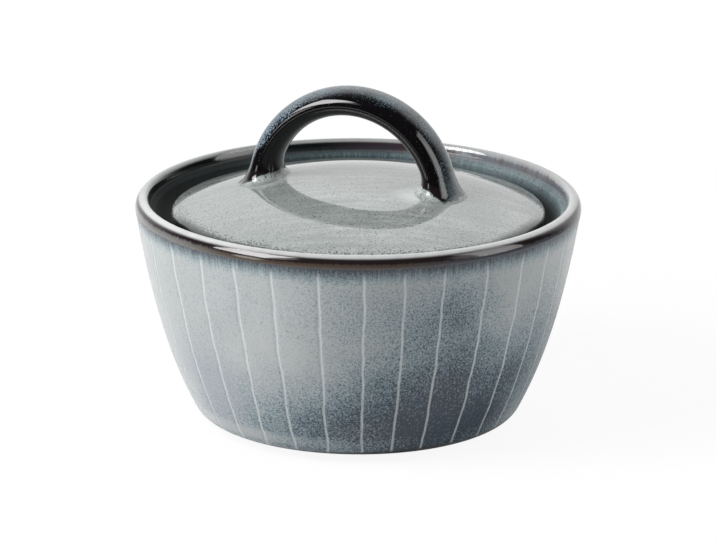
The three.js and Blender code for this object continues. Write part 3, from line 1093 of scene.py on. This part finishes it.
def make_bowl(turning):
    outline = bowl_outline()
    crest = max(range(len(outline)), key=lambda i: outline[i].y)
    guide = outline_guide("bowl_outline", outline, crest)
    lengths = along_outline(outline)

    def length_at(radius, height):
        """Length from the crest, down the outside, to the outline's point nearest to a place."""
        spot = point(radius, height)
        nearest = min(range(crest), key=lambda i: (outline[i] - spot).length)
        return lengths[crest] - lengths[nearest]

    base_start = length_at(BASE_RADIUS + BASE_CORNER * 0.6, FOOT_HEIGHT + BASE_CORNER * 0.2)
    foot_start = length_at(FOOT_OUTER + FOOT_BEVEL / 2, FOOT_HEIGHT / 2)
    foot_end = length_at(FOOT_INNER - FOOT_RECESS / 2, FOOT_RECESS / 2)
    return turning.piece(
        "striped_bowl", guide, Columns_per_stripe=COLUMNS_PER_STRIPE, Groove_depth=GROOVE_DEPTH,
        Groove_half_width=GROOVE_HALF_WIDTH, Stripe_top=5 * MM, Stripe_bottom=base_start,
        Waver=WAVER, Wobble=WOBBLE, Glaze=BowlGlaze(base_start).fired(foot_start, foot_end),
    )


def make_lid(turning):
    outline = lid_outline()
    rim = max(range(len(outline)), key=lambda i: outline[i].x)
    guide = outline_guide("lid_outline", outline, rim)
    # The lid's outline ends at its crown, so lengths from its edge are turned to count upwards
    for value in guide.attributes["along"].data:
        value.value = -value.value
    lengths = along_outline(outline)
    seat = [i for i in range(rim) if abs(outline[i].y - LEDGE_HEIGHT) < SEAT_TOLERANCE]
    seat_start = lengths[min(seat)] - lengths[rim]
    seat_end = lengths[max(seat)] - lengths[rim]
    return turning.piece(
        "domed_lid", guide, Columns_per_stripe=COLUMNS_PER_STRIPE, Groove_depth=0.0,
        Groove_half_width=GROOVE_HALF_WIDTH, Stripe_top=4 * MM, Stripe_bottom=32 * MM,
        Waver=WAVER, Wobble=LID_WOBBLE, Glaze=lid_glaze(seat_start, seat_end),
    )


def make_handle():
    return strap_tree().piece(
        "arched_handle", strap_guide(), Steps=150, Arch_radius=ARCH_RADIUS,
        Arch_height=ARCH_TOP - STRAP_THICKNESS / 2 - ARCH_RADIUS, Offset=ARCH_OFFSET,
        Flare=FLARE, Flare_height=FLARE_HEIGHT, Skirt=SKIRT, Skirt_height=SKIRT_HEIGHT,
        Glaze=handle_glaze(),
    )


# Studio

# Floor: a pale sheet with a share of shadow that runs out away from the bowl
FLOOR_STEPS = 128
FLOOR_GRAIN = 2 * MM
FLOOR_RADIUS = 330 * MM
FLOOR_FADE = 60 * MM
FLOOR_DROP = 0.1 * MM
FLOOR_PALE = (0.9, 0.9, 0.9, 1)
FLOOR_BOUNCE = (0.5, 0.5, 0.5, 1)
SHADOW_SHARE = 0.085
SHADOW_START = 80 * MM
SHADOW_END = 320 * MM

# What the glaze mirrors: the back, a panel and a ceiling above it, and the camera's side
BACK_MIRRORED = 1.0
PANEL_MIRRORED = 1.55
PANEL_RISE = (0.12, 0.5)
CEILING_MIRRORED = 0.2
CEILING_RISE = (0.72, 0.9)
FRONT_MIRRORED = 0.03
TENT_LEAN = 0.45
TENT_EDGE = (-0.42, -0.82)

# Cores of the lights in the glaze: bearing, elevation and spread in degrees, brightness
MIRRORED_CORES = [
    (-57, 37, 20, 3.5),
    (-58, 6, 10, 4.5),
    (70, 22, 22, 1.4),
]

# Even light from the back and from the camera's side, and the turn between them
BACK_SOFT = 0.55
FRONT_SOFT = 0.16
SOFT_TURN = (0.4, -0.25)

# Tall soft lights: name, bearing, elevations of the ends, width in degrees, radiance
STRIP_LIGHTS = [
    ("left_strip", -64, 23, 55, 30, 12.8),
    ("right_strip", 76, 5, 47, 27, 3.2),
]
LAMP_DISTANCE = 1.0


def ray(tree, kind):
    """1 for rays of one kind, such as those of the camera."""
    return made(tree, "ShaderNodeLightPath", output=f"Is {kind} Ray")


def floor_paper():
    """White to the camera, with a faint shadow near the bowl, and clear at its edge."""
    paper = bpy.data.materials.new("pale_paper")
    paper.use_nodes = True
    tree = paper.node_tree
    shader = tree.nodes["Principled BSDF"]
    shader.inputs["Specular IOR Level"].default_value = 0.0
    place = made(tree, "ShaderNodeTexCoord", output="Object")
    grain = noise(place, FLOOR_GRAIN, detail=3.0)
    feed(tree, shader.inputs["Roughness"], 0.8 + 0.15 * grain)
    camera = ray(tree, "Camera")
    mirrored = ray(tree, "Glossy")
    seen = camera.math("MAXIMUM", mirrored)
    feed(tree, shader.inputs["Base Color"], mixed(seen, FLOOR_BOUNCE, FLOOR_PALE))
    white = made(tree, "ShaderNodeEmission", {"Color": (1, 1, 1, 1), "Strength": 1.0})
    lit = Field(tree, shader.outputs[0])
    away = vector_math("LENGTH", place, place, output="Value")
    shadow = SHADOW_SHARE * ramp(away, SHADOW_END, SHADOW_START)
    sheet = made(tree, "ShaderNodeMixShader", (camera * (1 - shadow), lit, white))
    faded = ramp(away, FLOOR_RADIUS - FLOOR_FADE, FLOOR_RADIUS)
    clear = made(tree, "ShaderNodeBsdfTransparent")
    surface = made(tree, "ShaderNodeMixShader", (faded, sheet, clear))
    feed(tree, tree.nodes["Material Output"].inputs["Surface"], surface)
    return paper


def make_floor():
    """Pale round sheet that fades out into the white surroundings."""
    ring = [2 * math.pi * i / FLOOR_STEPS for i in range(FLOOR_STEPS)]
    corners = [(FLOOR_RADIUS * math.cos(t), FLOOR_RADIUS * math.sin(t), -FLOOR_DROP) for t in ring]
    mesh = bpy.data.meshes.new("floor")
    mesh.from_pydata(corners, [], [list(range(FLOOR_STEPS))])
    mesh.materials.append(floor_paper())
    floor = placed("floor", mesh)


def soft_core(way, bearing, elevation, spread_angle):
    """Bright middle of a soft light, as the glaze mirrors it; angles are in degrees."""
    closeness = reach_along(looking(bearing, elevation), way)
    outer = math.radians(spread_angle)
    return ramp(closeness, math.cos(outer), math.cos(outer / 2))


def make_surroundings():
    """White all round for the camera; what the glaze mirrors and how softly each side lights it."""
    world = bpy.data.worlds.new("studio")
    bpy.context.scene.world = world
    world.use_nodes = True
    tree = world.node_tree
    way = made(tree, "ShaderNodeTexCoord", output="Generated")
    towards = reach_along(looking(0, 0), way)
    rise = part_of(way, "Z")
    tent = ramp(towards - rise * TENT_LEAN, *TENT_EDGE)
    bright = BACK_MIRRORED + ramp(rise, *PANEL_RISE) * (PANEL_MIRRORED - BACK_MIRRORED)
    bright = bright + ramp(rise, *CEILING_RISE) * (CEILING_MIRRORED - PANEL_MIRRORED)
    mirrored = ray(tree, "Glossy")
    camera = ray(tree, "Camera")
    glossy = FRONT_MIRRORED + tent * bright
    for bearing, elevation, spread_angle, brightness in MIRRORED_CORES:
        glossy = glossy + soft_core(way, bearing, elevation, spread_angle) * brightness
    soft = FRONT_SOFT + ramp(towards, *SOFT_TURN) * (BACK_SOFT - FRONT_SOFT)
    level = soft + mirrored * (glossy - soft)
    level = level + camera * (1 - level)
    background = tree.nodes["Background"].inputs
    background["Color"].default_value = (1, 1, 1, 1)
    feed(tree, background["Strength"], level)


def make_strip_light(name, bearing, low, high, width, radiance):
    """Tall soft light: its bearing, the elevations of its ends and its width are in degrees."""
    def across(angle):
        return 2 * LAMP_DISTANCE * math.tan(math.radians(angle / 2))

    middle = looking(bearing, (low + high) / 2)
    lamp = bpy.data.lights.new(name, "AREA")
    lamp.shape = "RECTANGLE"
    lamp.size = across(width)
    lamp.size_y = across(high - low)
    lamp.energy = radiance * math.pi * lamp.size * lamp.size_y
    lamp.color = (1.0, 0.98, 0.98)
    light = placed(name, lamp)
    light.location = CAMERA_TARGET + middle * LAMP_DISTANCE
    light.rotation_mode = "QUATERNION"
    light.rotation_quaternion = (-middle).to_track_quat("-Z", "Y")
    light.visible_camera = False


def make_camera():
    lens = bpy.data.cameras.new("camera")
    lens.lens = CAMERA_LENS
    lens.sensor_width = 36
    lens.clip_start = 0.1
    lens.clip_end = 20
    camera = placed("camera", lens)
    camera.location = CAMERA_TARGET + looking(0, CAMERA_ELEVATION) * CAMERA_DISTANCE
    aim = (CAMERA_AIM - camera.location).to_track_quat("-Z", "Y")
    camera.rotation_mode = "QUATERNION"
    camera.rotation_quaternion = aim @ Quaternion((0, 0, 1), math.radians(CAMERA_ROLL))
    bpy.context.scene.camera = camera


def make_studio():
    make_camera()
    make_floor()
    make_surroundings()
    for strip in STRIP_LIGHTS:
        make_strip_light(*strip)
    bpy.context.scene.view_settings.view_transform = "Standard"


make_studio()
turning = turned_tree()
for piece, body, node, slot in [
    (make_bowl(turning), "bowl", "bowl", "bowl_glaze"),
    (make_lid(turning), "lid", "lid", "lid_glaze"),
    (make_handle(), "lid", "handle", "handle_glaze"),
]:
    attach(piece, body)
    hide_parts(node)
